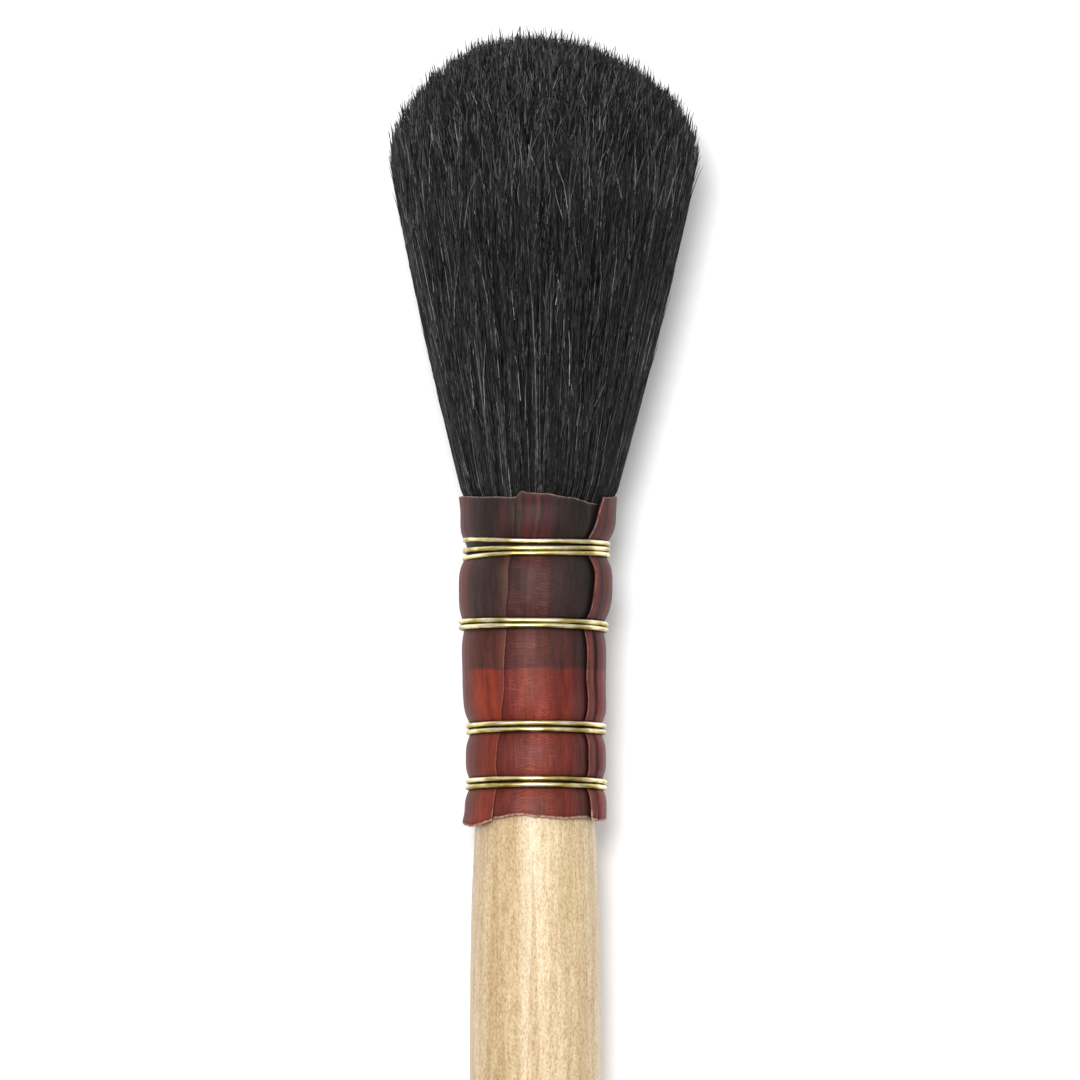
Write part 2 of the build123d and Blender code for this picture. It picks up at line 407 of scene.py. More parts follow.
class QuillTree(Tree):
    """One quill layer, painted by place: 'x' is along the brush and 'turn' is degrees round it, where
    'start' is the least. 'offset' keeps the two layers' textures apart."""

    def __init__(self, name, start, offset):
        super().__init__(name)
        turn = self.attribute("turn")
        self.x = self.attribute("x")
        self.across = self.times(turn, IN_MM)
        self.start = start
        self.offset = offset
        self.cloud = self.texture(0.5, 1.0, scale=0.6, roughness=0.5)
        from_start = self.minus(self.strayed(turn, self.cloud, 9.0), start)
        self.round_share = self.math("DIVIDE", from_start, FULL_TURN)
        self.wavy_x = self.strayed(self.x, self.cloud, 0.9)
        self.past_first = self.step(self.wavy_x, DARK_FROM, -0.8)
        self.past_tip = self.step(self.wavy_x, TENON_TIP, -2.4)

    def texture(self, along, around, **settings):
        """Noise, scaled by one rate along the brush and another round it."""
        where = self.combine(self.times(self.x, along), self.times(self.across, around), self.offset)
        return self.noise(where, **settings)

    def around(self, stops):
        """Colours blended from (angle, colour) stops round the ferrule."""
        places = [((angle - self.start) / FULL_TURN, colour) for angle, colour in stops]
        return self.ramp(self.round_share, *places)

    def dye(self, near_mouth, dark, red):
        """The layer's colour before its fibres, ripples and edges."""
        mouth, below, wood = (
            self.around([(angle, srgb(*colour)) for angle, *colour in stops])
            for stops in (near_mouth, dark, red)
        )
        tinged = self.times(self.step(self.wavy_x, TINGED_FROM, -2.0), 0.25)
        reddened = self.math("MAXIMUM", self.past_tip, tinged)
        faded = self.times(self.past(self.wavy_x, FADED_FROM, -0.5), 0.30)
        brown = self.mix(self.past_first, mouth, below)
        return self.mix(reddened, brown, self.mix(faded, wood, FADED_RED))

    def ripples(self, zones):
        """Fine ripples across the quill, broken up, and only in the zones that have them; they shape
        the bump and a painted highlight along their crests.
        """
        drift = self.texture(1.1, 0.7, roughness=0.6)
        phase = self.weighted((self.x, RIPPLE_RATE), (drift, RIPPLE_DRIFT))
        height = self.weighted((self.math("SINE", phase), 0.5), base=0.5)
        breaks = self.texture(2.0, 0.8, detail=2.0, roughness=0.5)
        share = self.around([(angle, grey(level)) for angle, level in zones])
        share = self.times(share, self.past(self.cloud, 0.28, 3.2))
        share = self.times(share, self.past(breaks, 0.30, 3.5))
        return self.times(height, share)

    def with_edges(self, body):
        """The body colour with its pale cut edges, partly a painted highlight, and painted shade in
        its crevices:
        'edge' runs from 1 at a fresh cut edge to -1 in the painted shade beside one."""
        edge = self.attribute("edge")
        cut = self.mix(self.past_first, CUT_NEAR_MOUTH, CUT_BELOW)
        cut = self.mix(self.past(self.x, FOOT_FROM, -4.0), cut, CUT_AT_FOOT)
        worn = self.past(self.texture(2.2, 2.2, roughness=0.7), 0.30, 2.4)
        cut_and_highlight = self.times(self.times(edge, worn), 0.9, clamp=True)
        crevice_shade = self.times(edge, -0.85, clamp=True)
        return self.mix(crevice_shade, self.mix(cut_and_highlight, body, cut), CREVICE_SHADE)


def quill_material(name, start, near_mouth, dark, red, ripple_zones, offset):
    """Dyed quill: translucent brown over the hair, and red over the wood of the tenon."""
    t = QuillTree(name, start, offset)
    fibre = t.texture(0.10, 1.0, scale=1.9, detail=5.0, roughness=0.65)
    fine = t.texture(0.5, 5.0, scale=1.6, roughness=0.6)
    ripples = t.ripples(ripple_zones)
    level = t.weighted((fibre, 0.52), (t.cloud, 0.22), (fine, 0.26))
    shade = t.ramp(level, (0.34, (0.45, 0.45, 0.47)), (0.50, grey(0.98)), (0.66, (1.65, 1.56, 1.48)))
    body = t.mix(1.0, t.dye(near_mouth, dark, red), shade, blend="MULTIPLY")
    # A painted highlight on the ripples' crests.
    strength = t.weighted((t.past_first, 0.20), (t.past_tip, 0.22), base=0.04)
    body = t.mix(t.times(ripples, strength), body, CREST_HIGHLIGHT)
    t.set(Base_Color=t.with_edges(body), Roughness=t.weighted((fine, 0.25), base=0.42))
    t.bump(t.weighted((fibre, 0.5), (fine, 0.25), (ripples, 0.08)), 0.40, 0.18 * MM)
    t.set(Coat_Weight=0.03, Coat_Roughness=0.3, Specular_IOR_Level=0.17)
    return t.material


def brass_material():
    """Drawn brass wire, painted pale cream along its crown as a highlight and darker olive down its
    sides as shade, with patches of tarnish.
    """
    t = Tree("brass")
    space = t.brush_space()
    tarnish = t.noise(t.stretched(space, 1.4, 0.45), detail=2.0, roughness=0.5)
    marks = t.noise(t.stretched(space, 6.0, 0.5), detail=1.0)
    # A painted highlight along the crown, mixed with real tarnish.
    highlight_and_tarnish = t.weighted((t.attribute("crown"), 0.46), (tarnish, 1.3), base=-0.22)
    t.set(Base_Color=t.ramp(
        highlight_and_tarnish,
        (0.24, srgb(84, 68, 18)),
        (0.50, srgb(152, 134, 56)),
        (0.74, srgb(212, 196, 132)),
        (0.96, srgb(248, 238, 210)),
    ))
    t.bump(marks, 0.02, 0.03 * MM)
    t.set(Metallic=1.0, Roughness=t.weighted((marks, 0.12), base=0.30))
    return t.material


# A painted highlight along the handle's front, split by a duller line that widens toward the butt
HIGHLIGHT_RIGHT = -0.05
HIGHLIGHT_HALF_WIDTH = 1.45
SPLIT_RIGHT = -0.15
SPLIT_HALF_WIDTH = 0.8
SPLIT_GROWTH = 0.028  # of that half-width, for each millimetre along the handle


def birch_highlight(t, space):
    """How strongly the painted highlight shows, and where the duller line splits it."""
    x, right, up = space
    wander = t.noise(t.stretched(space, 0.10, 0.6))
    across = t.strayed(right, wander, 0.8)
    off_highlight = t.math("ABSOLUTE", t.minus(across, HIGHLIGHT_RIGHT))
    off_split = t.math("ABSOLUTE", t.minus(across, SPLIT_RIGHT))
    growing = t.times(t.minus(FERRULE_END, x), SPLIT_GROWTH)
    half_split = t.math("MINIMUM", growing, SPLIT_HALF_WIDTH)
    facing = t.math("GREATER_THAN", up, 0.0)
    highlight = t.times(t.past(off_highlight, HIGHLIGHT_HALF_WIDTH, -4.5), facing)
    split = t.times(t.past(off_split, half_split, -8.0), facing)
    highlight = t.times(highlight, t.minus(1.0, split))
    return t.times(highlight, t.weighted((across, 0.11), base=0.27)), split


def birch_material():
    """Pale birch under clear lacquer: long soft grain, short strokes of pore, a fine speckle and a
    painted highlight along its front.
    """
    t = Tree("birch")
    space = t.brush_space()
    bands = t.noise(t.stretched(space, 0.030, 0.9), detail=4.0, roughness=0.6)
    strokes = t.noise(t.stretched(space, 0.60, 3.2), roughness=0.7)
    speck = t.noise(t.stretched(space, 3.4, 6.0), detail=2.0, roughness=0.65)
    # The base is lighter toward the handle's right side: painted light that evens out the key's
    # shading from the left.
    base = t.ramp(
        t.weighted((bands, 1.0), (space[1], 0.018)),
        (0.32, srgb(180, 152, 112)),
        (0.50, srgb(193, 168, 130)),
        (0.70, srgb(207, 186, 150)),
    )
    level = t.weighted((strokes, 0.40), (speck, 0.60))
    shade = t.ramp(level, (0.36, (0.70, 0.62, 0.51)), (0.50, grey(1.0)), (0.64, (1.24, 1.30, 1.38)))
    highlight, split = birch_highlight(t, space)
    # The paler colour here is a painted highlight, on the upward face only.
    t.set(Base_Color=t.mix(1.0, t.mix(highlight, base, srgb(229, 211, 177)), shade, blend="MULTIPLY"))
    t.bump(level, 0.5, 0.10 * MM)
    t.set(Roughness=t.weighted((speck, 0.2), (split, 0.40), base=0.30))
    t.set(Coat_Weight=0.10, Coat_Roughness=0.22, Specular_IOR_Level=0.45)
    return t.material


def inner_material(name, low, high, scale, roughness):
    """A plain mottled finish for the pieces that are sealed inside the ferrule."""
    t = Tree(name)
    mottle = t.noise(t.combine(*t.brush_space()), scale, detail=4.0, roughness=0.6)
    t.bump(mottle, 0.4, 0.1 * MM)
    t.set(Base_Color=t.ramp(mottle, (0.3, low), (0.7, high)), Roughness=roughness)
    return t.material


def floor_material():
    """White paper with the faintest tooth."""
    t = Tree("paper")
    tooth = t.noise(t.node("TexCoord").outputs["Object"], scale=900.0)
    t.set(Base_Color=t.ramp(tooth, (0.3, grey(0.91)), (0.7, grey(0.93))))
    t.set(Roughness=0.9, Specular_IOR_Level=0.1)
    return t.material


# ---------------- camera, light and floor
VIEW_WIDTH = 97.2  # of the brush, across the picture
VIEW_DISTANCE = 900.0
VIEW_TILT = 3.3  # from square to the brush's axis, toward the handle
VIEW_X = -4.0  # where the middle of the picture falls on the axis
VIEW_RIGHT = 0.42
SENSOR = 36.0
NEAREST_SEEN = 0.01  # in metres
FURTHEST_SEEN = 20.0

# Lights and floor, in metres, degrees and watts
KEY_DISTANCE = 1.3
KEY_SIZE = 0.34
KEY_TILT = 5.5  # toward the left
KEY_AHEAD = 4.0  # and toward the head
KEY_POWER = 13.0
HORIZON_LIGHT = 0.20
ZENITH_LIGHT = 1.05
FLOOR_REACH = 4.0


def make_camera():
    """Looks almost straight down, with the brush's head up."""
    data = bpy.data.cameras.new("camera")
    data.sensor_width = SENSOR
    data.lens = SENSOR * VIEW_DISTANCE / VIEW_WIDTH
    data.clip_start = NEAREST_SEEN
    data.clip_end = FURTHEST_SEEN
    camera = add_object("camera", data)
    tilt = radians(VIEW_TILT)
    back = UP * np.cos(tilt) - HEAD * np.sin(tilt)
    top = HEAD * np.cos(tilt) + UP * np.sin(tilt)
    target = MOUTH + MM * (VIEW_X * HEAD + VIEW_RIGHT * RIGHT)
    turn = Matrix([RIGHT, top, back]).transposed().to_4x4()
    turn.translation = Vector(target + back * VIEW_DISTANCE * MM)
    camera.matrix_world = turn
    bpy.context.scene.camera = camera


def make_key_light():
    """One round soft box almost overhead, a little to the left."""
    data = bpy.data.lights.new("key", "AREA")
    data.shape = "DISK"
    data.size = KEY_SIZE
    data.energy = KEY_POWER
    lamp = add_object("key", data)
    back = Vector((np.tan(radians(KEY_AHEAD)), np.tan(radians(KEY_TILT)), 1)).normalized()
    lamp.location = Vector(MOUTH) + back * KEY_DISTANCE
    lamp.rotation_mode = "QUATERNION"
    lamp.rotation_quaternion = back.to_track_quat("Z", "Y")
    lamp.visible_camera = False


def make_world():
    """A white room, brightest overhead, and plain white behind the object."""
    world = bpy.data.worlds.new("studio")
    world.use_nodes = True
    nodes, links = world.node_tree.nodes, world.node_tree.links
    split = nodes.new("ShaderNodeSeparateXYZ")
    links.new(nodes.new("ShaderNodeTexCoord").outputs["Generated"], split.inputs[0])
    height = nodes.new("ShaderNodeMapRange")
    links.new(split.outputs["Z"], height.inputs["Value"])
    height.inputs["To Min"].default_value = HORIZON_LIGHT
    height.inputs["To Max"].default_value = ZENITH_LIGHT
    seen = nodes.new("ShaderNodeMix")
    links.new(nodes.new("ShaderNodeLightPath").outputs["Is Camera Ray"], seen.inputs["Factor"])
    links.new(height.outputs["Result"], seen.inputs["A"])
    seen.inputs["B"].default_value = 1.0
    background = nodes["Background"]
    background.inputs["Color"].default_value = (1, 1, 1, 1)
    links.new(seen.outputs["Result"], background.inputs["Strength"])
    bpy.context.scene.world = world


def make_floor():
    """A wide sheet of paper under the brush."""
    mesh = bpy.data.meshes.new("floor")
    corners = [(-FLOOR_REACH, -FLOOR_REACH, 0), (FLOOR_REACH, -FLOOR_REACH, 0)]
    corners += [(FLOOR_REACH, FLOOR_REACH, 0), (-FLOOR_REACH, FLOOR_REACH, 0)]
    mesh.from_pydata(corners, [], [(0, 1, 2, 3)])
    mesh.materials.append(floor_material())
    floor = add_object("floor", mesh)


# ---------------- hair
def flank_radius(x):
    """The outline of the free hair, and of the hair held in the mouth."""
    free = HAIR_MOUTH_RADIUS + FLANK_SLOPE * x - FLANK_CURVE * x**2
    return free - MOUTH_SQUEEZE * smooth(0.5, -0.2, x)


def outline_radius(x):
    """The whole outline of the tuft: the flank, turned softly over into the dome."""
    dome = np.sqrt(np.maximum(DOME_RADIUS**2 - (x - DOME_X) ** 2, 0))
    return -SHOULDER_BLEND * np.logaddexp(-flank_radius(x) / SHOULDER_BLEND, -dome / SHOULDER_BLEND)


def hair_end(share):
    """x where a hair that keeps this share of the flank's radius comes to the outline."""
    x = np.linspace(25.0, HAIR_LENGTH + DOME_LIFT, 400)
    return np.interp(-share, -outline_radius(x) / flank_radius(x), x)


def dome_end(share, angle):
    """x where such a hair ends when it also has its part in the dome's tilt."""
    across = DOME_RADIUS * share * np.sin(np.radians(angle))
    return hair_end(share) + DOME_TILT * across * (1 - share**2) ** 2


def lean(points, x):
    """The points moved sideways, as the ferrule and the tuft stand off the handle's axis."""
    shift = through(SWAY, x) + HAIR_LEAN * np.maximum(x, 0)
    return points + (MM * shift)[..., None] * RIGHT


LONG_RINGS = smooth(0, 1, np.linspace(0, 1, 13))  # closer together toward both ends
SHORT_RINGS = np.array([0.0, 0.55, 0.80, 0.94, 1.0])  # closer together toward the tip
FLOOR_GAP = 0.08  # how near the floor the middle of a hair may come
SHOULDER_GAP = 0.55  # how far below the outline the dense hairs stop at the shoulder
SHOULDER_FROM = 0.80  # the share of the radius where the shoulder begins
FLICK_LIMIT = 0.7
HEADING_LIMIT = 1.6


class Hairs:
    """A batch of hairs, with one value of each kind for every hair. The functions below also give
    each batch its 'share' (of the flank's radius), its 'root' and 'tip' (both x) and its 'width'."""

    def __init__(self, seed, count):
        self.rng = np.random.default_rng(seed)
        self.count = count
        self.angle = self.uniform(-180, 180)
        self.drift = self.rng.normal(0, 4.0, count)  # degrees that it strays round the tuft
        self.rise = self.rng.normal(0, 0.012, count)  # share of the radius that it gains
        self.wander = self.uniform(0.03, 0.22)  # size of its waves
        self.flick = self.rng.rayleigh(0.28, count)  # how far its tip is bent away
        self.lift = 0.6  # how much of the flick may lift it from the tuft, not only move it round
        self.rings = SHORT_RINGS

    def uniform(self, low, high):
        return self.rng.uniform(low, high, self.count)

    def tones(self, light_share, raised=0.0):
        """Each hair's own shade: mostly near black, and a small share grey or white."""
        tone = raised + self.rng.beta(1.25, 2.5, self.count) * (0.9 - raised)
        light = self.uniform(0, 1) < light_share
        self.tone = np.where(light, self.uniform(0.94, 1.0), tone)
        self.width = self.width * np.where(light, 0.75, 1.0)

    def waver(self, t, size):
        """A slow wave along each hair, starting from nothing at its root."""
        phase = self.rng.uniform(0, 2 * np.pi, (self.count, 1))
        turns = self.rng.uniform(0.6, 1.8, (self.count, 1))
        return size[:, None] * (np.sin(phase + 2 * np.pi * turns * t) - np.sin(phase)) * t

    def middle_lines(self, t, side, out):
        """Points along every hair, from x = root to x = tip."""
        x = self.root[:, None] + (self.tip - self.root)[:, None] * t
        angle = self.angle[:, None] + self.drift[:, None] * (t - 0.7)
        share = self.share[:, None] + self.rise[:, None] * (t - 0.3)
        share = share - np.maximum(share - 1.0, 0) * 0.7
        points = place(x, share * flank_radius(x), angle)
        sideways = self.waver(t, self.wander)
        inward = np.abs(self.waver(t, 0.4 * self.wander))
        heading = self.rng.normal(0, 1, (self.count, 2))
        heading = np.clip(heading, -HEADING_LIMIT, HEADING_LIMIT) * (1.0, self.lift)
        bent = np.minimum(self.flick, FLICK_LIMIT)[:, None] * t**2.5
        sideways = sideways + bent * heading[:, :1]
        outward = bent * heading[:, 1:] - inward
        points = points + sideways[..., None] * side[:, None, :] + outward[..., None] * out[:, None, :]
        points = lean(points, x)
        points[..., 2] = np.maximum(points[..., 2], MM * FLOOR_GAP)
        return points

    def build(self, name, material):
        """Tapered three-sided hairs, each a closed solid."""
        t = self.rings[None, :]
        out = place(0.0, 1.0, self.angle) - MOUTH
        side = place(0.0, 1.0, self.angle + 90) - MOUTH
        points = self.middle_lines(t, side, out)
        half = self.width[:, None] / 2 * np.sqrt(np.clip(1 - t**3, 0, 1)) * (0.75 + 0.25 * (1 - t))
        corner = self.rng.uniform(0, 2 * np.pi, (self.count, 1, 1)) + np.arange(3) * 2 * np.pi / 3
        spoke = np.cos(corner)[..., None] * side[:, None, None]
        spoke = spoke + np.sin(corner)[..., None] * out[:, None, None]
        ring = points[:, :-1, None] + half[:, :-1, None, None] * spoke
        verts = np.concatenate([ring.reshape(self.count, -1, 3), points[:, -1:]], 1)
        faces = hair_faces(self.count, len(self.rings) - 1)
        tone = np.repeat(self.tone, verts.shape[1])
        return mesh_piece(name, verts, faces, material, smooth_shade=False, tone=tone)


def hair_faces(count, segments):
    """The faces of hairs, each made of this many three-cornered rings and then a tip."""
    start = (np.arange(count) * (3 * segments + 1))[:, None, None]
    corners = np.arange(3)
    last = (segments - 1) * 3
    tips = np.stack([last + corners, last + (corners + 1) % 3, np.full(3, last + 3)], -1)
    faces = (start + grid_faces(segments, 3, True)[:, ::-1]).reshape(-1, 4).tolist()
    faces += (start + tips).reshape(-1, 3).tolist()
    faces += (start[:, 0] + np.array([2, 1, 0])).tolist()
    return faces


FLANK_ROOT = -1.5
FLANK_END_SPREAD = 9.0  # how far below the shoulder the long hairs may end
FLANK_TIP_SPREAD = 24.0  # and the short ones


def flank_hairs(h, low, high):
    """Long hairs of the flank, from inside the mouth to the shoulder."""
    h.share = h.uniform(low, high)
    h.tip = hair_end(h.share) - SHOULDER_GAP - FLANK_END_SPREAD * h.rng.beta(0.9, 2.5, h.count)
    h.root = np.full(h.count, FLANK_ROOT)
    h.width = h.uniform(0.09, 0.13)
    h.wander = h.uniform(0.06, 0.40)
    h.lift = 0.1
    h.tones(0.016)
    h.rings = LONG_RINGS


def flank_tips(h):
    """Shorter hairs that end on the flank, more and more of them toward the shoulder."""
    h.share = h.uniform(0.97, 1.0)
    h.tip = hair_end(h.share) - SHOULDER_GAP - FLANK_TIP_SPREAD * h.rng.beta(1.0, 2.6, h.count)
    h.root = h.tip - h.uniform(3.5, 8.0)
    h.width = h.uniform(0.08, 0.12)
    h.flick = h.rng.rayleigh(0.30, h.count)
    h.lift = 0.25
    h.drift = h.rng.normal(0, 3.0, h.count)
    h.tones(0.014)


LOOSE_FROM = 0.5
LOOSE_ROOT_LIMIT = 28.0
LOOSE_TIP_LIMIT = 31.5


def loose_hairs(h):
    """Paler single hairs that lie a little crosswise on the flank."""
    h.share = h.uniform(0.990, 1.003)
    h.root = h.uniform(LOOSE_FROM, LOOSE_ROOT_LIMIT)
    h.tip = np.minimum(h.root + h.uniform(2.0, 5.5), LOOSE_TIP_LIMIT)
    h.width = h.uniform(0.06, 0.10)
    h.flick = h.rng.rayleigh(0.25, h.count)
    h.lift = 0.1
    h.drift = h.rng.normal(0, 2.6, h.count)
    h.tones(0.05, raised=0.48)


def dome_tips(h, low, high):
    """The last stretch of the hairs whose ends make the dome."""
    h.share = np.sqrt(h.uniform(low**2, high**2))
    h.tip = dome_end(h.share, h.angle) + 0.12 - h.rng.gamma(1.0, 0.30, h.count)
    h.tip = h.tip - SHOULDER_GAP * smooth(SHOULDER_FROM, 1.0, h.share)
    h.root = h.tip - h.uniform(3.5, 6.0)
    h.width = h.uniform(0.09, 0.14)
    h.drift = h.rng.normal(0, 2.6, h.count)
    h.flick = h.rng.rayleigh(0.34, h.count)
    h.rise = h.rng.normal(0, 0.012, h.count)
    # Raised tone: a painted highlight on the dome's exposed tips.
    h.tones(0.04, raised=0.18)


def stray_tips(h, low, high, raised, light_share):
    """Single hairs whose ends stand out past the dome, and further at the shoulder."""
    h.share = np.sqrt(h.uniform(0, 1))
    further = 1 + 0.35 * smooth(SHOULDER_FROM, 1.0, h.share)
    h.tip = dome_end(h.share, h.angle) + h.uniform(low, high) * further
    h.root = h.tip - h.uniform(3.0, 6.0)
    h.width = h.uniform(0.12, 0.18)
    h.flick = h.rng.rayleigh(0.38, h.count)
    h.lift = 0.35
    h.drift = h.rng.normal(0, 3.0, h.count)
    h.tones(light_share, raised)


CORE_SHARE = 0.955  # of the outline's radius
CORE_DEPTH = 1.3  # below the dome
CORE_ROOT = -12.4
CORE_THROAT = [(CORE_ROOT, 5.2), (-5.0, 5.4), (-1.5, 5.9), (0.0, 6.25)]
CORE_COLUMNS = 96
THROAT_ROWS = 14
FREE_ROWS = 36  # on the flank, and again on the dome


def core_profile():
    """x and radius along the core, from its root to just short of the middle of its dome."""
    inside = np.linspace(CORE_ROOT, 0, THROAT_ROWS)
    flank = np.linspace(0.6, DOME_X, FREE_ROWS)
    sweep = np.linspace(np.pi / 2 - 0.1, 0.02, FREE_ROWS)
    dome = DOME_X + (DOME_RADIUS - CORE_DEPTH) * np.cos(sweep)
    free = np.concatenate([flank, dome])
    free_radius = CORE_SHARE * outline_radius(free + CORE_DEPTH * smooth(18.0, 30.0, free))
    return np.concatenate([inside, free]), np.concatenate([through(CORE_THROAT, inside), free_radius])


def hair_core(material):
    """The closed dark mass under the hairs, from the root plug to just under the dome."""
    x, r = core_profile()
    angle = np.linspace(-180, 180, CORE_COLUMNS, endpoint=False)
    around = lean(place(x[:, None], r[:, None], angle[None, :]), x[:, None] + 0 * angle)
    poles = lean(place(x[[0, -1]], 0.0, 0.0), x[[0, -1]])
    points = np.concatenate([around.reshape(-1, 3), poles])
    faces = grid_faces(len(x), CORE_COLUMNS, True).tolist()
    last = (len(x) - 1) * CORE_COLUMNS
    bottom = last + CORE_COLUMNS
    top = bottom + 1
    for j in range(CORE_COLUMNS):
        k = (j + 1) % CORE_COLUMNS
        faces.append((bottom, j, k))
        faces.append((top, last + k, last + j))
    return mesh_piece("hair_core", points, faces, material)


# Each batch's name, seed, number of hairs, and the function and values that fill it
HAIR_BATCHES = [
    ("hair_flank_under", 11, 2800, flank_hairs, 0.955, 0.985),
    ("hair_flank_outer", 21, 2800, flank_hairs, 0.98, 1.0),
    ("hair_flank_tips", 31, 7000, flank_tips),
    ("hair_flank_loose", 35, 2000, loose_hairs),
    ("hair_dome_middle", 41, 6000, dome_tips, 0.0, 0.74),
    ("hair_dome_rim", 51, 7600, dome_tips, 0.72, 1.0),
    # The dome's loose hairs are raised toward grey as a painted highlight on the exposed tips.
    ("hair_dome_loose", 57, 3200, stray_tips, -0.1, 0.30, 0.68, 0.08),
    ("hair_strays", 61, 1300, stray_tips, 0.30, 1.05, 0.0, 0.0),
]

# Where along the tuft its bending would begin and end; nothing bends it
BEND_START = 0.0
BEND_END = 26.0


def make_hair():
    """The tuft: its core and all the batches of single hairs."""
    material = hair_material()
    pieces = [hair_core(hair_core_material())]
    for name, seed, count, fill, *values in HAIR_BATCHES:
        batch = Hairs(seed, count)
        fill(batch, *values)
        pieces.append(batch.build(name, material))
    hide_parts("hair_tuft", "hair_root")
    for piece in pieces:
        place(BEND_START, 0.0, 0.0)
        place(BEND_END, 0.0, 0.0)
        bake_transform(piece)


# ---------------- quill ferrule
# The quill's outer face where nothing squeezes it, then each binding's middle, the radius
# that the wire squeezes it to, and how far along the brush the squeeze is felt.
FREE_OUTLINE = [
    (-29.9, 6.38), (-28.0, 6.38), (-23.4, 6.30), (-18.0, 6.42),
    (-13.5, 6.48), (-8.4, 6.88), (-2.0, 6.98), (0.2, 7.02),
]
SQUEEZES = [(-4.95, 6.18, 1.30), (-11.80, 6.26, 1.05), (-21.02, 5.84, 1.10), (-25.98, 5.90, 0.95)]

# Each binding's wire, as x at its left, front and right on every turn, from the hair to the handle.
WIRE_TURNS = [
    [(-4.02, -4.43, -4.38), (-5.01, -5.06, -4.89), (-5.71, -5.52, -5.37)],
    [(-11.39, -11.52, -11.64), (-11.92, -11.98, -12.13)],
    [(-20.78, -20.68, -20.76), (-21.33, -21.25, -21.33)],
    [(-25.72, -25.64, -25.80), (-26.29, -26.20, -26.30)],
]

WIRE_COVER = 0.22  # half the width of quill that each turn hides

# The slit in the outer layer: the angle of each of its two edges along the brush.
LEFT_EDGE = [(-29.9, -39.0), (-23.5, -36.0), (-16.0, -25.0), (-8.0, -22.0), (0.0, -17.0)]
RIGHT_EDGE = [
    (-29.9, 53.0), (-23.0, 50.0), (-16.0, 48.5), (-11.8, 48.5),
    (-7.6, 51.5), (-4.0, 46.5), (0.0, 55.0),
]

# The cut ends, as (angle, x) round a turn.
OUTER_TOP = [
    (-180, -0.30), (-120, -0.10), (-80, -0.15), (-40, -0.42),
    (-17, -0.52), (55, -0.38), (90, -0.08), (130, -0.25),
]
OUTER_FOOT = [
    (-180, -29.2), (-120, -29.3), (-90, -29.4), (-60, -29.9), (-34, -29.35),
    (-12, -29.0), (30, -29.2), (66, -29.35), (100, -29.1), (140, -29.4),
]
INNER_TOP = [
    (-180, -1.0), (-30, -0.9), (-17.5, -0.5), (-15.5, -0.22), (-13.5, 0.04),
    (-9, -0.12), (3, -0.2), (25, -0.53), (45, -0.95), (60, -1.1),
]
INNER_FOOT = [
    (-180, -28.9), (-60, -29.0), (-34, -29.2), (-18, -28.95), (-10, -28.92),
    (0, -29.1), (25, -29.25), (48, -29.1), (80, -29.0),
]
TOP_TEAR = 0.035  # size of the small tears along the cut ends
FOOT_TEAR = 0.03

sheet_waves = waves(7, 9, 2, 9)
fine_waves = waves(8, 12, 9, 34)


def quill_radius(x):
    """The outer face of the ferrule along the brush, swollen between the bindings."""
    free = through(FREE_OUTLINE, x)
    squeeze = 0
    for middle, radius, reach in SQUEEZES:
        depth = through(FREE_OUTLINE, np.array(middle)) - radius
        squeeze = np.maximum(squeeze, depth * bell(x, middle, reach))
    return free - squeeze


def wire_shade(x):
    """1 where a binding's wire lies on the quill, falling to 0 just past its edges: the share of
    painted shade under and beside each wire.
    """
    hidden = 0
    for (middle, _, _), turns in zip(SQUEEZES, WIRE_TURNS):
        half = WIRE_COVER * len(turns)
        hidden = np.maximum(hidden, smooth(half + 0.26, half + 0.08, np.abs(x - middle)))
    return hidden


def squeezed(x):
    """1 under a binding, falling to 0 between them."""
    return np.max([bell(x, middle, 0.8) for middle, _, _ in SQUEEZES], axis=0)


def left_edge(x):
    """The angle of the slit's left edge, a little wavy."""
    return through(LEFT_EDGE, x) + 0.5 * np.sin(1.3 * x)


def right_edge(x):
    """The angle of its right edge."""
    return through(RIGHT_EDGE, x) + 0.5 * np.sin(1.7 * x + 1)


def sheet_radius(x, angle):
    """The outer face with the facets and creases that soaked quill dries into."""
    loose = 1 - 0.75 * squeezed(x)
    facets = 0.055 * sheet_waves(angle, 0.35 * x) + 0.012 * fine_waves(angle, 0.2 * x)
    return quill_radius(x) + loose * facets


def thinning(x):
    """How much of its thickness a layer keeps: it is worn thin at the mouth."""
    return 1 - 0.5 * smooth(-1.4, -0.2, x)


def sheet_piece(name, material, x, angle, radii, edges, wrap):
    """A closed sheet of quill: x and angle are rows by columns, as are the two arrays that radii and
    edges each have, one for its outer face and one for its inner face."""
    rows, columns = x.shape
    size = rows * columns
    points = np.array([lean(place(x, r, angle), x) for r in radii])
    front = grid_faces(rows, columns, wrap)
    faces = front.tolist() + (front[:, ::-1] + size).tolist()
    j = np.arange(columns if wrap else columns - 1)
    k = (j + 1) % columns
    far = (rows - 1) * columns
    faces += np.stack([j, k, k + size, j + size], -1).tolist()
    faces += np.stack([far + j + size, far + k + size, far + k, far + j], -1).tolist()
    if not wrap:
        i = np.arange(rows - 1) * columns
        faces += np.stack([i + size, i + columns + size, i + columns, i], -1).tolist()
        i = i + columns - 1
        faces += np.stack([i, i + columns, i + columns + size, i + size], -1).tolist()
    return mesh_piece(name, points, faces, material, x=(x, x), turn=(angle, angle), edge=edges)


def ragged(seed, angle, size):
    """Small tears along a cut end."""
    return size * waves(seed, 14, 12, 60)(angle, 0 * angle)


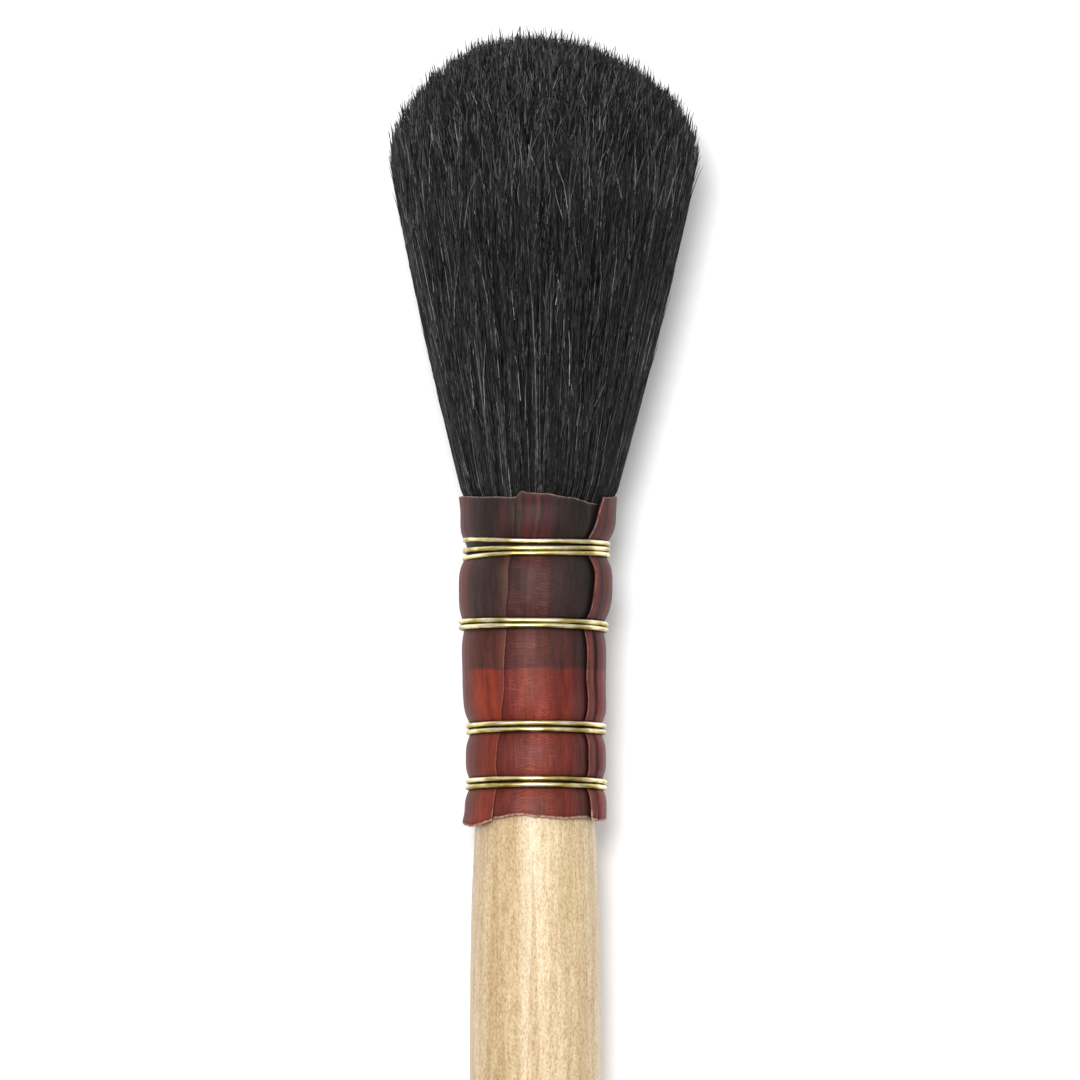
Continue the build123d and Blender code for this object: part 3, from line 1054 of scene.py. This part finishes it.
SHEET_ROWS = 210
SHEET_COLUMNS = 230
EDGE_WIDTH = 0.045  # of the pale line along a cut edge, which along the slit's edges is partly a painted highlight
CREVICE_SHADE_WIDTH = 0.22  # of the painted shade where one layer meets the other
FOLD = 1.15  # how far from its right edge the outer layer is folded
LAYER_GAP = 0.02  # between the two layers


def end_lines(below, above):
    """The pale lines along a layer's two cut ends, from distances below its top and above its foot.
    The foot has a wider bevel, with a dark line just above it."""
    return np.exp(-below / EDGE_WIDTH) + bell(above, 0, 0.15) - 0.5 * bell(above, 0.27, 0.08)


def outer_layout():
    """Where the outer layer's points lie: x, angle, the same angle from -180 to 180, and distances
    from the right edge, from the left edge, below the top and above the foot."""
    u = np.linspace(0, 1, SHEET_ROWS)[:, None]
    v = np.linspace(0, 1, SHEET_COLUMNS)[None, :]
    x = FERRULE_END * u + 0 * v
    for _ in range(2):  # once from straight ends, and again from the ends found
        left = left_edge(x)
        right = right_edge(x)
        angle = right + v * (FULL_TURN + left - right)
        turn = (angle + 180) % FULL_TURN - 180
        top = through(OUTER_TOP, turn, FULL_TURN) + ragged(61, turn, TOP_TEAR)
        foot = through(OUTER_FOOT, turn, FULL_TURN) + ragged(62, turn, FOOT_TEAR)
        x = top + (foot - top) * u
    from_right = (angle - right) * IN_MM
    from_left = (FULL_TURN + left - angle) * IN_MM
    return x, angle, turn, from_right, from_left, top - x, x - foot


def outer_warp(x, turn, from_right, lower):
    """How far the outer layer stands off: its curled edge, the fold beside it and its flared ends."""
    curl = (1 - 0.9 * squeezed(x)) * 0.09 * np.exp(-from_right / 0.30)
    crease = -0.10 * bell(from_right, FOLD, 0.10)
    step = 0.07 * smooth(1.1, 1.5, from_right) * smooth(4.0, 2.0, from_right)
    flare = 0.16 * smooth(-1.6, 0.1, x) * smooth(-60, -90, turn) * smooth(-150, -110, turn)
    flare = flare + 0.30 * smooth(-28.2, -29.9, x) * bell(turn, -72, 30)
    return curl + lower * (crease + step) + flare


def outer_quill(material):
    """The outer layer: a strip wrapped most of the way round."""
    x, angle, turn, from_right, from_left, below, above = outer_layout()
    lower = smooth(-10.5, -13.0, x)
    layer = OUTER_LAYER * thinning(x)
    thinned = 0.25 * np.exp(-from_left / 1.3) + 0.14 * lower * np.exp(-from_right / 0.6)
    inner = sheet_radius(x, turn) - layer + outer_warp(x, turn, from_right, lower)
    outer = inner + layer - np.minimum(thinned, 0.8 * layer)
    # The slit's edges get a pale line: the cut's own colour with a painted highlight where the edge
    # catches the light.
    pale = np.exp(-from_right / EDGE_WIDTH) + (0.1 + 0.4 * lower) * np.exp(-from_left / EDGE_WIDTH)
    pale = np.clip(pale + end_lines(below, above), -1, 1)
    # Painted shade along the fold's crease.
    fold_shade = 0.8 * lower * bell(from_right, FOLD, 0.09)
    # Painted shade: along the fold, under the wires, and over the whole inward face.
    edges = (pale - fold_shade - wire_shade(x), np.full_like(x, -1.0))
    return sheet_piece("quill_sheet_outer", material, x, angle, (outer, inner), edges, False)


def slit_shade(x, angle):
    """The painted shade on the inner layer, along both edges of the slit in the outer one."""
    right_width = CREVICE_SHADE_WIDTH * (1 - 0.55 * smooth(-12.0, -13.0, x))
    left_width = 0.4 * CREVICE_SHADE_WIDTH
    seam = 0.15 + 0.45 * smooth(-11.5, -13.0, x)
    along_right = np.exp(-np.abs(right_edge(x) - angle) * IN_MM / right_width)
    return along_right + seam * np.exp(-np.abs(angle - left_edge(x)) * IN_MM / left_width)


def inner_quill(material):
    """The inner layer: a whole tube, seen through the slit and at its cut ends."""
    u = np.linspace(0, 1, SHEET_ROWS)[:, None]
    angle = np.linspace(-180, 180, SHEET_COLUMNS, endpoint=False)[None, :] + 0 * u
    top = through(INNER_TOP, angle, FULL_TURN) + ragged(63, angle, TOP_TEAR)
    foot = through(INNER_FOOT, angle, FULL_TURN) + ragged(64, angle, FOOT_TEAR)
    x = top + (foot - top) * u
    outer = sheet_radius(x, angle) - OUTER_LAYER * thinning(x) - LAYER_GAP
    inner = outer - INNER_LAYER * thinning(x)
    pale = np.clip(end_lines(top - x, x - foot), -1, 1)
    # Painted shade along the slit's edges and under the wires, and over the whole inward face.
    edges = (pale - np.maximum(slit_shade(x, angle), wire_shade(x)), np.full_like(x, -0.6))
    return sheet_piece("quill_sheet_inner", material, x, angle, (outer, inner), edges, True)


def make_quill():
    """Both layers of the ferrule."""
    outer = outer_quill(quill_material(
        "quill_outer", 0.0, OUTER_NEAR_MOUTH, OUTER_DARK, OUTER_RED, OUTER_RIPPLES, 0.0
    ))
    inner = inner_quill(quill_material(
        "quill_inner", -180.0, INNER_NEAR_MOUTH, INNER_DARK, INNER_RED, INNER_RIPPLES, 7.0
    ))
    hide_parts("quill_outer")
    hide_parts("quill_inner")
    for piece in (outer, inner):
        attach(piece, "brush")


# ---------------- brass bindings
CROWN_HIGHLIGHT_TURN = 0.45  # the painted highlight along each wire's crown lies this far round toward the hair, in radians
WIRE_SIDES = 16
WIRE_GAP = 0.03  # between the wire and the quill
SLIT_DROP = 0.22  # how much nearer the axis it lies over the slit
WIRE_END = 165  # degrees from the front where the winding starts and stops
TWIST_REACH = 13  # degrees that the twisted ends cover to either side of the back
TWIST_TURNS = 2.6
TWIST_OUT = 1.35 * WIRE_DIAMETER  # from the quill to the middle of the twist


def tube(name, path, radius, material):
    """A round tube with closed ends along a path of points, in metres."""
    ahead = np.gradient(path, axis=0)
    ahead /= np.linalg.norm(ahead, axis=1)[:, None]
    axis_point = MOUTH + ((path - MOUTH) @ HEAD)[:, None] * HEAD
    out = path - axis_point
    out -= (out * ahead).sum(1)[:, None] * ahead
    out /= np.linalg.norm(out, axis=1)[:, None]
    side = np.cross(ahead, out)
    a = np.linspace(0, 2 * np.pi, WIRE_SIDES, endpoint=False)[None, :, None]
    rings = path[:, None] + MM * radius * (np.cos(a) * out[:, None] + np.sin(a) * side[:, None])
    count = len(path)
    faces = grid_faces(count, WIRE_SIDES, True)[:, ::-1].tolist()
    faces.append(list(range(WIRE_SIDES))[::-1])
    faces.append([(count - 1) * WIRE_SIDES + k for k in range(WIRE_SIDES)])
    # The share of painted highlight round the wire, strongest along its crown.
    crown = np.maximum(np.cos(a.ravel() + CROWN_HIGHLIGHT_TURN), 0) ** 2
    return mesh_piece(name, rings, faces, material, crown=np.tile(crown, count))


def wound_path(turns, radius):
    """The middle of a wire wound round the quill, dipping where the slit leaves it room."""
    points = [(-WIRE_END, turns[0][0])]
    for n, (left, front, right) in enumerate(turns):
        base = 360 * n
        points += [(base - 90, left), (base, front), (base + 90, right)]
    points.append((360 * (len(turns) - 1) + WIRE_END, turns[-1][2]))
    angle = np.linspace(points[0][0], points[-1][0], 150 * len(turns))
    x = through(points, angle)
    turn = (angle + 180) % FULL_TURN - 180
    left = through(LEFT_EDGE, x)
    right = through(RIGHT_EDGE, x)
    over_slit = smooth(left - 3, left + 14, turn) * smooth(right + 3, right - 14, turn)
    return lean(place(x, radius + WIRE_DIAMETER / 2 + WIRE_GAP - SLIT_DROP * over_slit, angle), x)


def twisted_strand(middle, radius, phase):
    """One of a wire's two ends, twisted round the other behind the ferrule."""
    s = np.linspace(0, 1, 60)
    spin = 2 * np.pi * TWIST_TURNS * s + phase
    x = middle + WIRE_DIAMETER / 2 * np.sin(spin)
    r = radius + TWIST_OUT + WIRE_DIAMETER / 2 * np.cos(spin)
    return lean(place(x, r, 180 + TWIST_REACH * (1 - 2 * s)), x)


def band_wire(number, turns, squeeze, material):
    """One wire wound round the ferrule, its two ends twisted together behind and laid flat."""
    middle, radius, _ = squeeze
    wound = np.concatenate([twisted_strand(middle, radius, 0)[::-1], wound_path(turns, radius)])
    whole = tube(f"binding_{number}", wound, WIRE_DIAMETER / 2, material)
    second = twisted_strand(middle, radius, np.pi)
    tail = tube(f"binding_{number}_end", second, WIRE_DIAMETER / 2, material)
    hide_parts(f"wire_band_{number}")
    for piece in (whole, tail):
        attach(piece, "brush")


def make_wires():
    """The four bindings, numbered from the hair to the handle."""
    material = brass_material()
    for number, parts in enumerate(zip(WIRE_TURNS, SQUEEZES), start=1):
        band_wire(number, *parts, material)


# ---------------- CAD pieces that stay
def dress(node, material):
    """Give a CAD node this one material."""
    piece = frame["nodes"][node]
    piece.data.materials.clear()
    piece.data.materials.append(material)

def dress_cad():
    dress("handle", birch_material())
    dress("tenon_glue", inner_material("glue", (0.50, 0.36, 0.18), (0.68, 0.52, 0.30), 1.5, 0.3))
    dress("root_plug", inner_material("resin", (0.010, 0.008, 0.007), (0.05, 0.035, 0.025), 2.5, 0.25))
    dress("tie_thread", inner_material("thread", (0.45, 0.38, 0.27), (0.68, 0.61, 0.48), 5.0, 0.8))


bpy.context.scene.view_settings.view_transform = "Standard"
make_camera()
make_key_light()
make_world()
make_floor()
make_hair()
make_quill()
make_wires()
dress_cad()
